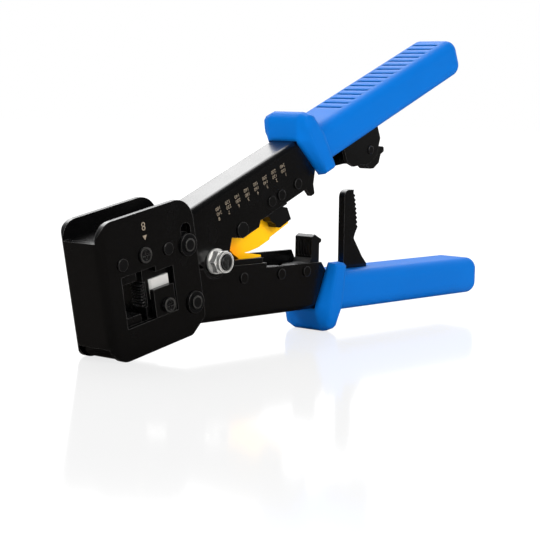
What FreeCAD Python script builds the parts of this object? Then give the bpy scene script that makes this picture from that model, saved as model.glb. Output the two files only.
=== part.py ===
import FreeCAD, Part
import os
import re
from math import acos, asin, cos, degrees, hypot, pi, radians, sin

import Sketcher

# Ratcheting crimping tool for modular plugs, standing on edge as on a bench.
# X runs along the tool from the head to the grips, Y across it, Z up.
# Each arm has its own frame: s along the arm from the knee bolt, t outwards.
# The head has its own too: a from the knee bolt towards the grips, b upwards.

os.makedirs("parts", exist_ok=True)
doc = FreeCAD.newDocument("CrimpingTool")
Vec = FreeCAD.Vector
Turn = FreeCAD.Rotation
Place = FreeCAD.Placement

# Driving sizes in millimetres, with angles in degrees.
SIZES = {
    # The stance and the closed linkage of head, two arms and knee
    "open_angle": 22.8,
    "close_angle": 21.0,
    "pin_back": 16.0,
    "pin_rise": 10.65,
    "running": 0.05,
    "easy_gap": 0.4,
    # The head: a bent frame with a web in front and two side plates
    "head_front": 57.7,
    "head_rear": 11.5,
    "head_top": 27.7,
    "head_bottom": 22.2,
    "head_width": 20.0,
    "head_sheet": 2.0,
    "head_corner": 7.2,
    "head_rear_corner": 8.5,
    "heel_run": 7.5,
    "heel_rise": 5.0,
    "heel_round": 3.0,
    "web_top": 21.3,
    "web_bottom": 16.3,
    "block_lip": 0.6,
    "block_lip_round": 4.4,
    "head_bend": 3.0,
    "window_front": 49.5,
    "window_rear": 24.5,
    "window_top": 7.4,
    "window_bottom": 11.0,
    "window_step": 2.0,
    "window_step_rear": 33.0,
    # The die block between the plates, with the nest for the plug
    "block_rear": 22.6,
    "block_throat_top": 7.0,
    "block_throat_bottom": 11.0,
    "nest_front": 49.4,
    "nest_rear": 40.8,
    "plug_depth": 6.7,
    "plug_top": 4.0,
    "plug_bottom": 8.0,
    "latch_depth": 1.8,
    "latch_half": 3.1,
    "block_screw_back": 37.1,
    "block_screw_rise": 12.4,
    "front_rivet_back": 48.1,
    "rear_rivet_back": 25.8,
    "block_rivet_rise": 11.7,
    "block_screw_half": 1.5,
    "block_screw_head": 2.8,
    "block_screw_proud": 0.7,
    "block_rivet_half": 1.4,
    "block_rivet_head": 2.2,
    "block_rivet_proud": 0.5,
    # The ram and what it carries
    "ram_front": 38.0,
    "ram_body_rear": 23.6,
    "ram_slip": 0.1,
    "tail_gap": 0.35,
    "tail_top": 5.5,
    "tail_bottom": 4.5,
    "eye_front": 8.0,
    "eye_rear": 6.2,
    "eye_top": 9.2,
    "eye_bottom": 6.4,
    "eye_round": 1.6,
    "roller_half": 3.5,
    "roller_slip": 0.15,
    "comb_count": 8,
    "comb_pitch": 1.02,
    "comb_blade": 0.45,
    "comb_reach": 1.4,
    "comb_root": 2.4,
    "comb_length": 5.0,
    "comb_centre": 2.0,
    "trim_front": 35.6,
    "trim_rear": 26.6,
    "trim_top": 3.0,
    "trim_bottom": 4.2,
    "trim_sheet": 1.0,
    "trim_bevel": 0.7,
    "clamp_front": 36.3,
    "clamp_rear": 26.3,
    "clamp_top": 0.5,
    "clamp_bottom": 10.6,
    "clamp_sheet": 2.0,
    "clamp_screw_back": 30.4,
    "clamp_screw_drop": 7.4,
    "clamp_screw_half": 1.5,
    "clamp_screw_head": 2.6,
    "clamp_screw_proud": 1.3,
    # Pins and the knee bolt
    "pin_half": 2.4,
    "pin_proud": 1.5,
    "clip_outer": 4.0,
    "clip_sheet": 0.8,
    "pin_washer": 4.6,
    "bolt_half": 2.5,
    "bolt_head": 4.25,
    "bolt_head_height": 5.0,
    "bolt_socket": 2.0,
    "bolt_socket_depth": 2.5,
    "bolt_proud": 0.4,
    "nut_flat": 4.0,
    "nut_hex": 2.9,
    "nut_collar": 3.9,
    "nut_height": 4.6,
    "knee_washer": 4.7,
    "knee_washer_sheet": 0.9,
    # The arms: channels bent from one sheet, and the cheeks in the lower one
    "side_gap": 1.0,
    "arm_sheet": 1.5,
    "arm_bend": 2.2,
    "arm_out": 22.7,
    "arm_end": 150.0,
    "arm_lobe": 6.0,
    "arm_in_grip": 10.6,
    "lobe_gap": 0.5,
    "cheek_sheet": 1.5,
    "cheek_gap": 5.0,
    "cheek_edge": 0.5,
    "low_edge": 2.4,
    "near_edge": 4.2,
    "upper_edge": 1.2,
    "upper_edge_back": 3.2,
    "notch_back": 11.2,
    "notch_front": 16.7,
    "notch_depth": 2.9,
    "arm_rivet_half": 1.3,
    "strip_rivet_front": 1.8,
    "strip_rivet_rear": 3.5,
    "stop_rivet_front": 3.6,
    "cheek_rivet_back": 12.4,
    "anvil_rivet_front": 4.0,
    "cutter_rivet_front": 1.9,
    "arm_rivet_head": 2.0,
    "arm_rivet_proud": 0.5,
    "arm_rivet_depth": 3.0,
    "arm_rivet_out": 7.3,
    # The stripping station and the cutting station
    "strip_length": 11.2,
    "strip_reach": 5.0,
    "strip_inner": 1.4,
    "strip_slit": 5.0,
    "strip_slit_depth": 4.0,
    "strip_base": 10.4,
    "blade_sheet": 0.6,
    "blade_proud": 0.3,
    "anvil_length": 14.5,
    "anvil_gap": 1.6,
    "anvil_face": 4.4,
    "station_gap": 2.7,
    "cutter_in": 0.4,
    "cutter_length": 4.5,
    "cutter_rise": 6.2,
    "cutter_wall": 0.8,
    "cutter_slot": 5.0,
    "rib_under_top": 1.8,
    "rib_over_edge": 2.4,
    "cutter_side": 1.2,
    "cutter_foot_length": 8.2,
    "cutter_lug": 1.2,
    "cutter_rib": 0.5,
    "cutter_ribs": 6,
    "cutter_slit": 2.0,
    "stop_length": 11.0,
    "stop_over": 1.2,
    "stop_face": 6.3,
    # The blade guard
    "guard_pin_along": 17.5,
    "guard_pin_out": 4.4,
    "guard_pin_half": 1.5,
    "guard_pin_head": 2.9,
    "guard_ear": 3.1,
    "guard_near": 1.2,
    "guard_far": 3.7,
    "guard_length": 31.2,
    "guard_depth": 9.0,
    "guard_leg": 14.4,
    # The ratchet
    "rack_clear": 10.6,
    "rack_wide": 9.4,
    "rack_rise": 23.3,
    "rack_half": 1.5,
    "rack_heel": 6.0,
    "rack_rivet_in": 4.0,
    "rack_rivet_rise": 3.0,
    "rack_round": 3.0,
    "rack_foot_out": 13.0,
    "rack_teeth": 8,
    "tooth_depth": 0.9,
    "teeth_rise": 22.0,
    "teeth_fall": 7.4,
    "pawl_reach": 9.8,
    "pawl_pin_out": 0.5,
    "pawl_pin_half": 1.6,
    "pawl_tooth_gap": 0.1,
    "pawl_hub": 4.0,
    "pawl_spring_room": 2.85,
    "bracket_sheet": 1.4,
    "bracket_front": 15.6,
    "bracket_back": 7.8,
    "bracket_gap": 5.0,
    "bracket_rivet_in": 4.0,
    "bracket_rivet_rise": 3.0,
    "bracket_over": 6.0,
    "bracket_floor": 4.0,
    "pawl_spring_wire": 0.5,
    "pawl_spring_half": 2.5,
    "pawl_spring_turns": 3.0,
    # The return spring round the head pin
    "spring_wire": 1.1,
    "spring_half": 3.4,
    "spring_turns": 3.5,
    "spring_pitch": 1.5,
    # The grips
    "grip_in_collar": 1.2,
    "grip_end": 167.0,
    "grip_width": 21.1,
    "grip_in": 8.6,
    "grip_out": 24.1,
    "grip_side_round": 4.2,
    "grip_end_round": 5.0,
    "grip_slip": 0.05,
    "flange_width": 23.2,
    "flange_core": 14.4,
    "flange_corner": 4.6,
    "flange_front": 57.6,
    "flange_lean": 7.6,
    "sleeve_in": 8.6,
    "rack_room_front": 1.2,
    "rack_room_upper": 2.5,
    "rack_room_rear": 1.0,
    "rack_room_side": 0.2,
    "pawl_room_end": 0.4,
    "room_through": 1.0,
    "flange_reach": 13.6,
    "collar_in_low": 4.6,
    "collar_in_up": 5.4,
    "groove_start": 88.0,
    "groove_pitch": 4.6,
    "groove_width": 1.3,
    "groove_depth": 0.7,
    "groove_length": 12.5,
    "groove_count": 16,
}

sheet = doc.addObject("Spreadsheet::Sheet", "Sizes")


def store(name, value):
    """Put one size in the sheet under its alias."""
    row = len(stored) + 1
    sheet.set("A%d" % row, name)
    sheet.set("B%d" % row, "%.9g" % value)
    sheet.setAlias("B%d" % row, name)
    stored[name] = value
    return value


stored = {}
for size_name, size_value in SIZES.items():
    store(size_name, size_value)

# Sizes that follow from the linkage: the head halves the angle between the arms,
# and the knee bolt swings about the head pin and drives the ram forwards.
half_open = SIZES["open_angle"] / 2
half_close = SIZES["close_angle"] / 2
pin_back = SIZES["pin_back"]
pin_rise = SIZES["pin_rise"]
link = hypot(pin_back, pin_rise)
link_angle = degrees(acos(pin_rise / link))
pin_along = store("pin_along", pin_rise * sin(radians(half_open)) - pin_back * cos(radians(half_open)))
pin_out = store("pin_out", pin_back * sin(radians(half_open)) + pin_rise * cos(radians(half_open)))
shut_angle = radians(link_angle - half_close)
ram_travel = store("ram_travel", pin_back - link * sin(shut_angle))
knee_rise = store("knee_rise", link * cos(shut_angle) - pin_rise)
pin_travel = store("pin_travel", 2 * knee_rise)
arm_width = store("arm_width", SIZES["head_width"] - 2 * (SIZES["head_sheet"] + SIZES["side_gap"]))
cheek_inside = arm_width / 2 - SIZES["arm_sheet"] - SIZES["running"] - SIZES["cheek_sheet"]
tail_half = store("tail_half", cheek_inside - SIZES["tail_gap"])

# The stations, the rack and the pawl take their places from the collar of the grips.
flange_rear = store("flange_rear", SIZES["flange_front"] + SIZES["flange_reach"])
grip_start = store("grip_start", SIZES["flange_front"] + SIZES["grip_in_collar"])
stop_end = store("stop_end", grip_start + SIZES["stop_over"])
stop_start = store("stop_start", stop_end - SIZES["stop_length"])
cutter_start = store("cutter_start", grip_start - SIZES["cutter_in"])
cutter_end = store("cutter_end", cutter_start + SIZES["cutter_length"])
cutter_foot = store("cutter_foot", cutter_start - SIZES["cutter_foot_length"])
anvil_end = store("anvil_end", cutter_foot - SIZES["station_gap"])
anvil_start = store("anvil_start", anvil_end - SIZES["anvil_length"])
strip_start = store("strip_start", anvil_start + SIZES["anvil_gap"])
strip_end = store("strip_end", strip_start + SIZES["strip_length"])
cheek_end = store("cheek_end", anvil_start - SIZES["cheek_gap"])
cutter_half = store("cutter_half", arm_width / 2 - SIZES["arm_sheet"] - SIZES["cutter_side"])
guard_tip = store("guard_tip", SIZES["guard_pin_along"] + SIZES["guard_length"])
rack_front = store("rack_front", flange_rear + SIZES["rack_clear"])
rack_radius = store("rack_radius", rack_front + SIZES["rack_wide"])
rack_foot = store("rack_foot", rack_radius + SIZES["rack_heel"])
rack_foot_half = store("rack_foot_half", arm_width / 2 - SIZES["arm_sheet"] - 2 * SIZES["running"])
pawl_pin_along = store("pawl_pin_along", rack_radius + SIZES["pawl_reach"])
bracket_start = store("bracket_start", pawl_pin_along - SIZES["bracket_front"])
bracket_end = store("bracket_end", pawl_pin_along + SIZES["bracket_back"])
bracket_web = store("bracket_web", pawl_pin_along - SIZES["bracket_gap"])
bracket_inside = store(
    "bracket_inside", arm_width / 2 - SIZES["arm_sheet"] - SIZES["running"] - SIZES["bracket_sheet"]
)
pawl_near = store("pawl_near", bracket_inside - SIZES["running"])
pawl_far = store("pawl_far", bracket_inside - SIZES["pawl_spring_room"])
head_corner = SIZES["head_corner"]
foot_depth = store(
    "foot_depth",
    (SIZES["head_front"] - head_corner) * sin(radians(half_open))
    + (SIZES["head_bottom"] - head_corner) * cos(radians(half_open))
    + head_corner,
)
head_reach = (
    (SIZES["head_front"] - head_corner) * cos(radians(half_open))
    + (SIZES["head_top"] - head_corner) * sin(radians(half_open))
    + head_corner
)
knee_place = Vec((head_reach - SIZES["grip_end"]) / 2, 0, foot_depth)
doc.recompute()

AXIS_Y = Vec(0, 1, 0)
FRAMES = {
    "lower": Place(knee_place, Turn(Vec(1, 0, 0), 180)),
    "upper": Place(knee_place, Turn(AXIS_Y, -SIZES["open_angle"])),
    "head": Place(knee_place, Turn(AXIS_Y, -half_open)),
}
nodes = []


def bound(text):
    """Turn size names in an expression into references to the sheet."""
    return re.sub(r"[a-z][a-z_]+", lambda word: "Sizes." + word.group(0), text)


def origin_plane(body, role):
    """The body's own origin plane of the given role."""
    return [part for part in body.Origin.OriginFeatures if part.Role == role][0]


def new_body(name):
    """An empty body under its own name."""
    body = doc.addObject("PartDesign::Body", name)
    body.Label = name
    return body


def new_sketch(body, plane, level):
    """A sketch parallel to an origin plane, at a level along its normal."""
    sketch = body.newObject("Sketcher::SketchObject", body.Name + "_sketch")
    sketch.AttachmentSupport = (origin_plane(body, plane), [""])
    sketch.MapMode = "FlatFace"
    sketch.setExpression("AttachmentOffset.Base.z", bound(level))
    return sketch


def pin_point(sketch, geometry, spot, across, upward):
    """Hold one point of a sketch at two bound distances from its origin."""
    for kind, text in (("DistanceX", across), ("DistanceY", upward)):
        number = sketch.addConstraint(Sketcher.Constraint(kind, -1, 1, geometry, spot, 1.0))
        sketch.setExpression("Constraints[%d]" % number, bound(text))


def draw_outline(sketch, corners):
    """A closed outline through corners that are given as bound texts."""
    count = len(corners)
    ring = [Vec(cos(2 * pi * k / count), sin(2 * pi * k / count), 0) for k in range(count)]
    for k in range(count):
        sketch.addGeometry(Part.LineSegment(ring[k], ring[(k + 1) % count]), False)
    for k in range(count):
        sketch.addConstraint(Sketcher.Constraint("Coincident", k, 2, (k + 1) % count, 1))
    for k, corner in enumerate(corners):
        pin_point(sketch, k, 1, corner[0], corner[1])


def draw_circle(sketch, across, upward, radius):
    """A circle with a bound centre and radius."""
    sketch.addGeometry(Part.Circle(Vec(0, 0, 0), Vec(0, 0, 1), 1.0), False)
    pin_point(sketch, 0, 3, across, upward)
    number = sketch.addConstraint(Sketcher.Constraint("Radius", 0, 1.0))
    sketch.setExpression("Constraints[%d]" % number, bound(radius))


def span(plane, low, high):
    """Level and length that reach from low to high along the axis across a plane."""
    if plane == "XZ_Plane":
        return "-(%s)" % high, "(%s) - (%s)" % (high, low)
    return low, "(%s) - (%s)" % (high, low)


def grow(body, kind, plane, low, high, draw):
    """Add or cut one prism whose section is drawn by the function draw."""
    level, length = span(plane, low, high)
    sketch = new_sketch(body, plane, level)
    draw(sketch)
    feature = body.newObject("PartDesign::" + kind, body.Name + "_" + kind.lower())
    feature.Profile = sketch
    feature.Type = 0
    feature.setExpression("Length", bound(length))
    if kind == "Pocket":
        feature.Reversed = True
    doc.recompute()
    return sketch, feature


def round_corners(body, sketch, feature, corners):
    """Round the edges that stand on those corners of an outline that carry a radius."""
    places = {}
    for k, corner in enumerate(corners):
        if len(corner) > 2:
            start = sketch.Geometry[k].StartPoint
            places.setdefault(corner[2], []).append(sketch.Placement.multVec(start))
    across = sketch.Placement.Rotation.multVec(Vec(0, 0, 1))
    for radius, spots in places.items():
        names = []
        for number, edge in enumerate(feature.Shape.Edges, 1):
            ends = [vertex.Point for vertex in edge.Vertexes]
            if len(ends) != 2 or (ends[1] - ends[0]).cross(across).Length > 1e-4:
                continue
            if any((ends[0] - spot).cross(across).Length < 1e-4 for spot in spots):
                names.append("Edge%d" % number)
        feature = round_edges(body, feature, names, radius)
    return feature


def round_edges(body, feature, names, radius):
    """Fillet the named edges of a feature."""
    fillet = body.newObject("PartDesign::Fillet", body.Name + "_fillet")
    fillet.Base = (feature, names)
    fillet.setExpression("Radius", bound(radius))
    doc.recompute()
    return fillet


def add_plate(body, plane, corners, low, high):
    """Grow a plate with the given outline, rounded where a corner has a radius."""
    sketch, feature = grow(body, "Pad", plane, low, high, lambda s: draw_outline(s, corners))
    return round_corners(body, sketch, feature, corners)


def cut_plate(body, plane, corners, low, high):
    """Cut an outline through a body, rounded where a corner has a radius."""
    sketch, feature = grow(body, "Pocket", plane, low, high, lambda s: draw_outline(s, corners))
    return round_corners(body, sketch, feature, corners)


def add_disc(body, along, out, radius, low, high):
    """Grow a round disc or rod across the tool."""
    return grow(body, "Pad", "XZ_Plane", low, high, lambda s: draw_circle(s, along, out, radius))[1]


def cut_hole(body, along, out, radius, low, high):
    """Cut a round hole across the tool."""
    return grow(body, "Pocket", "XZ_Plane", low, high, lambda s: draw_circle(s, along, out, radius))[1]


def box_corners(left, low, right, high, radius=None):
    """The four corners of a rectangle, with one radius if it is given."""
    corners = [(left, low), (right, low), (right, high), (left, high)]
    return [corner + (radius,) for corner in corners] if radius else corners


def combine(kind, name, first, second):
    """A boolean of two objects, or of a base and a list of tools."""
    result = doc.addObject("Part::" + kind, name)
    if kind == "Compound":
        result.Links = [first] + second
    else:
        result.Base = first
        result.Tool = second
    result.Label = name
    doc.recompute()
    return result


def node(part, name, frame):
    """Name a finished sub-part and stand it in its frame."""
    part.Label = name
    part.Placement = FRAMES[frame]
    nodes.append(part)
    return part


def rods(name, frame, pieces):
    """A node of one or more stepped rods across the tool: (along, out, steps)."""
    made = []
    for number, (along, out, steps) in enumerate(pieces):
        body = new_body("%s_%d" % (name, number) if len(pieces) > 1 else name)
        for radius, low, high in steps:
            add_disc(body, along, out, radius, low, high)
        made.append(body)
    if len(made) == 1:
        return node(made[0], name, frame)
    return node(combine("Compound", name + "_group", made[0], made[1:]), name, frame)


def rings(name, frame, pieces):
    """A node of flat rings across the tool: (along, out, outer, inner, low, high)."""
    made = []
    for number, (along, out, outer, inner, low, high) in enumerate(pieces):
        body = new_body("%s_%d" % (name, number) if len(pieces) > 1 else name)
        add_disc(body, along, out, outer, low, high)
        cut_hole(body, along, out, inner, low, high)
        made.append(body)
    if len(made) == 1:
        return node(made[0], name, frame)
    return node(combine("Compound", name + "_group", made[0], made[1:]), name, frame)


# The widths across the tool, from the middle outwards.
ARM_FACE = "arm_width / 2"
ARM_INSIDE = "arm_width / 2 - arm_sheet"
CHEEK_FACE = "arm_width / 2 - arm_sheet - running"
CHEEK_INSIDE = "arm_width / 2 - arm_sheet - running - cheek_sheet"
HEAD_FACE = "head_width / 2"
HEAD_INSIDE = "head_width / 2 - head_sheet"
GUIDE_FACE = "head_width / 2 - head_sheet - running"


def both_sides(low, high):
    """The two spans that mirror each other across the middle plane."""
    return (("-(%s)" % high, "-(%s)" % low), (low, high))


# The head frame: a bent sheet with a web in front and open above, below and behind.


def head_frame():
    section = new_body("head_section")
    outer = [
        ("-head_front", "-(head_width / 2)", "head_bend"),
        ("-head_rear", "-(head_width / 2)"),
        ("-head_rear", "head_width / 2"),
        ("-head_front", "head_width / 2", "head_bend"),
    ]
    add_plate(section, "XY_Plane", outer, "-head_bottom", "head_top")
    inner = [
        ("-head_front + head_sheet", "-(%s)" % HEAD_INSIDE, "head_bend - head_sheet"),
        ("0", "-(%s)" % HEAD_INSIDE),
        ("0", HEAD_INSIDE),
        ("-head_front + head_sheet", HEAD_INSIDE, "head_bend - head_sheet"),
    ]
    cut_plate(section, "XY_Plane", inner, "-head_bottom", "head_top")
    over = box_corners("-head_front", "web_top", "-head_rear", "head_top + head_sheet")
    cut_plate(section, "XZ_Plane", over, "-(%s)" % HEAD_INSIDE, HEAD_INSIDE)
    under = box_corners("-head_front", "-head_bottom - head_sheet", "-head_rear", "-web_bottom")
    cut_plate(section, "XZ_Plane", under, "-(%s)" % HEAD_INSIDE, HEAD_INSIDE)
    side = new_body("head_side")
    outline = [
        ("-head_front", "-head_bottom", "head_corner"),
        ("-head_rear - heel_run", "-head_bottom", "heel_round"),
        ("-head_rear", "-head_bottom + heel_rise", "heel_round"),
        ("-head_rear", "head_top", "head_rear_corner"),
        ("-head_front", "head_top", "head_corner"),
    ]
    add_plate(side, "XZ_Plane", outline, "-head_width", "head_width")
    window = [
        ("-window_front", "-window_bottom"),
        ("-window_rear", "-window_bottom"),
        ("-window_rear", "window_top - window_step"),
        ("-window_step_rear", "window_top - window_step"),
        ("-window_step_rear", "window_top"),
        ("-window_front", "window_top"),
    ]
    cut_plate(side, "XZ_Plane", window, "-head_width", "head_width")
    reach = ("-head_width", "head_width")
    cut_hole(side, "-pin_back", "-pin_rise", "pin_half + running", *reach)
    slot = "pin_half + 2 * running"
    for rise in ("pin_rise - running", "pin_rise + pin_travel + running"):
        cut_hole(side, "-pin_back", rise, slot, *reach)
    channel = box_corners(
        "-pin_back - (%s)" % slot, "pin_rise", "-pin_back + (%s)" % slot, "pin_rise + pin_travel"
    )
    cut_plate(side, "XZ_Plane", channel, *reach)
    cut_hole(side, "-block_screw_back", "block_screw_rise", "block_screw_half + running", *reach)
    for back in ("front_rivet_back", "rear_rivet_back"):
        cut_hole(side, "-" + back, "block_rivet_rise", "block_rivet_half + running", *reach)
    node(combine("Common", "head_frame", section, side), "head_frame", "head")


# The die block fills the front of the head and guides the ram above and below.


def die_block():
    block = new_body("die_block")
    back = "-head_front + head_sheet + running"
    outline = [
        (back, "-head_bottom + block_lip", "block_lip_round"),
        ("-block_rear", "-head_bottom + block_lip"),
        ("-block_rear", "-block_throat_bottom"),
        ("-nest_front", "-block_throat_bottom"),
        ("-nest_front", "block_throat_top"),
        ("-block_rear", "block_throat_top"),
        ("-block_rear", "web_top", "heel_round"),
        (back, "web_top"),
    ]
    add_plate(block, "XZ_Plane", outline, "-(%s)" % GUIDE_FACE, GUIDE_FACE)
    reach = ("-head_width", "head_width")
    cut_hole(block, "-block_screw_back", "block_screw_rise", "block_screw_half + running", *reach)
    for spot in ("front_rivet_back", "rear_rivet_back"):
        cut_hole(block, "-" + spot, "block_rivet_rise", "block_rivet_half + running", *reach)
    edges = []
    for number, edge in enumerate(block.Shape.Edges, 1):
        middle = edge.CenterOfMass
        if abs(middle.x + SIZES["head_front"] - SIZES["head_sheet"] - SIZES["running"]) < 0.01:
            if abs(abs(middle.y) - SIZES["head_width"] / 2) < 2 * SIZES["head_sheet"] + 0.1:
                if abs(edge.Vertexes[0].Point.z - edge.Vertexes[-1].Point.z) > 1:
                    edges.append("Edge%d" % number)
    round_edges(block, block.Tip, edges, "head_bend - head_sheet + running")
    node(block, "die_block", "head")


def connector_nest():
    nest = new_body("connector_nest")
    outline = [
        ("-nest_front + running", "-block_throat_bottom + running"),
        ("-nest_rear", "-block_throat_bottom + running"),
        ("-nest_rear", "-plug_bottom"),
        ("-nest_rear - plug_depth", "-plug_bottom"),
        ("-nest_rear - plug_depth", "-comb_centre - latch_half"),
        ("-nest_rear - plug_depth - latch_depth + easy_gap", "-comb_centre - latch_half"),
        ("-nest_rear - plug_depth - latch_depth + easy_gap", "-comb_centre + latch_half"),
        ("-nest_rear - plug_depth", "-comb_centre + latch_half"),
        ("-nest_rear - plug_depth", "plug_top"),
        ("-nest_rear", "plug_top"),
        ("-nest_rear", "block_throat_top - running"),
        ("-nest_front + running", "block_throat_top - running"),
    ]
    add_plate(nest, "XZ_Plane", outline, "-(%s)" % GUIDE_FACE, GUIDE_FACE)
    node(nest, "connector_nest", "head")


def cross_recess(body, along, out, face, depth, radius, arm):
    """Cut a cross-shaped driver recess into the near end of a screw."""
    for wide, tall in ((radius, arm), (arm, radius)):
        corners = box_corners(
            "%s - %s" % (along, wide),
            "%s - %s" % (out, tall),
            "%s + %s" % (along, wide),
            "%s + %s" % (out, tall),
        )
        cut_plate(body, "XZ_Plane", corners, face, "%s + %s" % (face, depth))


def block_screw():
    screw = new_body("block_screw")
    spot = ("-block_screw_back", "block_screw_rise")
    near = "-(head_width / 2) - running - block_screw_proud"
    add_disc(screw, *spot, "block_screw_head", near, "-(head_width / 2) - running")
    add_disc(screw, *spot, "block_screw_half", "-(head_width / 2) - running", "head_width / 2")
    cross_recess(screw, *spot, near, "block_screw_proud - running", "(block_screw_head * 0.6)", "0.35")
    node(screw, "block_screw", "head")


def head_fasteners():
    step = "block_rivet_head"
    face = "head_width / 2 + running"
    steps = [
        (step, "-(%s) - block_rivet_proud" % face, "-(%s)" % face),
        ("block_rivet_half", "-(%s)" % face, face),
        (step, face, "%s + block_rivet_proud" % face),
    ]
    pieces = [("-" + back, "block_rivet_rise", steps) for back in ("front_rivet_back", "rear_rivet_back")]
    rods("block_rivets", "head", pieces)


# The ram slides between the legs of the die block and carries comb and trimming blade.


def ram_body():
    ram = new_body("ram_body")
    top = "block_throat_top - ram_slip"
    bottom = "-block_throat_bottom + ram_slip"
    outline = box_corners("-ram_front", bottom, "-ram_body_rear", top)
    add_plate(ram, "XZ_Plane", outline, "-(%s)" % GUIDE_FACE, "head_width / 2 - head_sheet - running")
    tail = box_corners("-ram_body_rear - 1", "-tail_bottom", "-eye_front + 1", "tail_top")
    add_plate(ram, "XZ_Plane", tail, "-tail_half", "tail_half")
    eye = [
        ("-eye_front", "-eye_bottom", "eye_round"),
        ("eye_rear", "-eye_bottom", "eye_round"),
        ("eye_rear", "eye_top", "eye_round"),
        ("-eye_front", "eye_top", "eye_round"),
    ]
    add_plate(ram, "XZ_Plane", eye, "-tail_half", "tail_half")
    room = "roller_half + roller_slip"
    slot = box_corners("-(%s)" % room, "-(%s)" % room, room, "%s + knee_rise" % room)
    cut_plate(ram, "XZ_Plane", slot, "-head_width", "head_width")
    seat = "comb_root - comb_reach"
    half = "comb_pitch * comb_count / 2 + comb_blade"
    comb_seat = box_corners(
        "-ram_front", "-comb_centre - (%s)" % half, "-ram_front + %s" % seat, "-comb_centre + %s" % half
    )
    cut_plate(ram, "XZ_Plane", comb_seat, "-head_width", "-(%s) + comb_length + ram_slip" % GUIDE_FACE)
    cut_hole(
        ram,
        "-clamp_screw_back",
        "-clamp_screw_drop",
        "clamp_screw_half + running",
        "-head_width",
        "-(%s) + clamp_sheet * 2" % GUIDE_FACE,
    )
    node(ram, "ram_body", "head")


def crimping_comb():
    comb = new_body("crimping_comb")
    near = "-(%s) + running" % GUIDE_FACE
    far = "-(%s) + comb_length" % GUIDE_FACE
    half = "comb_pitch * comb_count / 2 + comb_blade - running"
    back = box_corners(
        "-ram_front + running",
        "-comb_centre - (%s)" % half,
        "-ram_front + comb_root - comb_reach - running",
        "-comb_centre + %s" % half,
    )
    add_plate(comb, "XZ_Plane", back, near, far)
    first = "-comb_centre - comb_pitch * (comb_count - 1) / 2"
    blade = box_corners(
        "-ram_front - comb_reach",
        "%s - comb_blade / 2" % first,
        "-ram_front + running * 2",
        "%s + comb_blade / 2" % first,
    )
    feature = add_plate(comb, "XZ_Plane", blade, near, far)
    row = comb.newObject("PartDesign::LinearPattern", "comb_row")
    row.Originals = [feature]
    row.Direction = (origin_plane(comb, "Z_Axis"), [""])
    row.setExpression("Length", bound("comb_pitch * (comb_count - 1)"))
    row.setExpression("Occurrences", bound("comb_count"))
    comb.Tip = row
    doc.recompute()
    node(comb, "crimping_comb", "head")


def trimming_blade():
    blade = new_body("trimming_blade")
    face = "-(%s) - running" % GUIDE_FACE
    outline = [
        ("-trim_front", "-trim_bottom"),
        ("-trim_rear", "-trim_bottom"),
        ("-trim_rear", "trim_top"),
        ("-trim_front", "trim_top"),
    ]
    feature = add_plate(blade, "XZ_Plane", outline, "%s - trim_sheet" % face, face)
    names = []
    for number, edge in enumerate(feature.Shape.Edges, 1):
        middle = edge.CenterOfMass
        low = -SIZES["head_width"] / 2 + SIZES["head_sheet"] - SIZES["trim_sheet"]
        if abs(middle.x + SIZES["trim_front"]) < 0.01 and abs(middle.y - low) < 0.01:
            names.append("Edge%d" % number)
    bevel = blade.newObject("PartDesign::Chamfer", "trim_edge")
    bevel.Base = (feature, names)
    bevel.setExpression("Size", bound("trim_bevel"))
    doc.recompute()
    node(blade, "trimming_blade", "head")


def blade_clamp():
    clamp = new_body("blade_clamp")
    face = "-(%s) - running" % GUIDE_FACE
    outline = box_corners("-clamp_front", "-clamp_bottom", "-clamp_rear", "-clamp_top", "window_step / 4")
    under = "%s - trim_sheet - running" % face
    add_plate(clamp, "XZ_Plane", outline, "%s - clamp_sheet" % under, under)
    ledge = box_corners("-clamp_front + window_step / 2", "-clamp_bottom + window_step / 4",
                        "-clamp_rear - window_step / 2", "-trim_bottom - running")
    add_plate(clamp, "XZ_Plane", ledge, under, face)
    reach = ("-head_width", "head_width")
    cut_hole(clamp, "-clamp_screw_back", "-clamp_screw_drop", "clamp_screw_half + running", *reach)
    node(clamp, "blade_clamp", "head")


def clamp_screw():
    screw = new_body("clamp_screw")
    spot = ("-clamp_screw_back", "-clamp_screw_drop")
    seat = "-(%s) - 3 * running - trim_sheet - clamp_sheet" % GUIDE_FACE
    near = "%s - clamp_screw_proud" % seat
    add_disc(screw, *spot, "clamp_screw_head", near, seat)
    add_disc(screw, *spot, "clamp_screw_half", seat, "-(%s) + clamp_sheet" % GUIDE_FACE)
    cross_recess(screw, *spot, near, "clamp_screw_proud * 0.7", "(clamp_screw_head * 0.62)", "0.35")
    node(screw, "clamp_screw", "head")


# The pins that join the arms to the head, with their washers and spring clips.


def pin_set(name, frame):
    spot = ("pin_along", "pin_out")
    end = "head_width / 2 + pin_proud"
    groove = "head_width / 2 + running"
    neck = "pin_half - clip_sheet / 2"
    steps = [
        ("pin_half", "-(%s)" % groove, groove),
        (neck, "-(%s)" % end, end),
        ("pin_half", "-(%s)" % end, "-(%s) - clip_sheet - running" % groove),
        ("pin_half", "%s + clip_sheet + running" % groove, end),
    ]
    rods(name, frame, [spot + (steps,)])
    clip = ("clip_outer", neck + " + running")
    low = "%s + running / 2" % groove
    high = "%s + clip_sheet" % groove
    rings(name + "_clips", frame, [spot + clip + side for side in both_sides(low, high)])
    ring = ("pin_washer", "pin_half + running")
    low = "arm_width / 2 + running"
    high = "head_width / 2 - head_sheet - running"
    rings(name + "_washers", frame, [spot + ring + side for side in both_sides(low, high)])


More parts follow.
